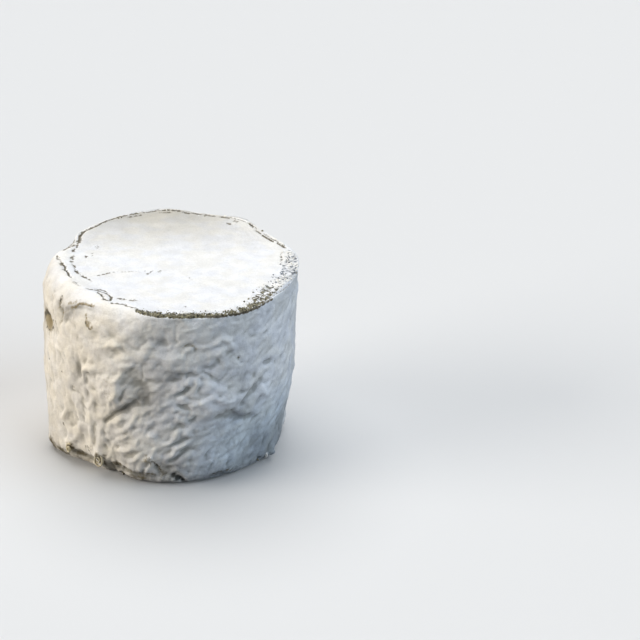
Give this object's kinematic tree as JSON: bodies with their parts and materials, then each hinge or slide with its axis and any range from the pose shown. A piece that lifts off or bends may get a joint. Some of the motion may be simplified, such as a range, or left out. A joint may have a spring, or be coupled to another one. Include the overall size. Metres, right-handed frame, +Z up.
{
  "type": "cheese wheel",
  "caption": "Small drum-shaped soft cheese with a white, wrinkled mould rind, a flat pale top with a crusted brown edge, and a slumped left shoulder.",
  "frame": {"origin": "middle of the outer box on the surface that the wheel stands on", "axes": "+X to the right and +Y away from the viewer as the wheel is shown, +Z up through the flat top"},
  "size_m": [0.0886, 0.0916, 0.0672],
  "materials": {
    "white_rind": null
  },
  "bodies": {
    "root": {"cheese_wheel": "white_rind"}
  },
  "joints": []
}
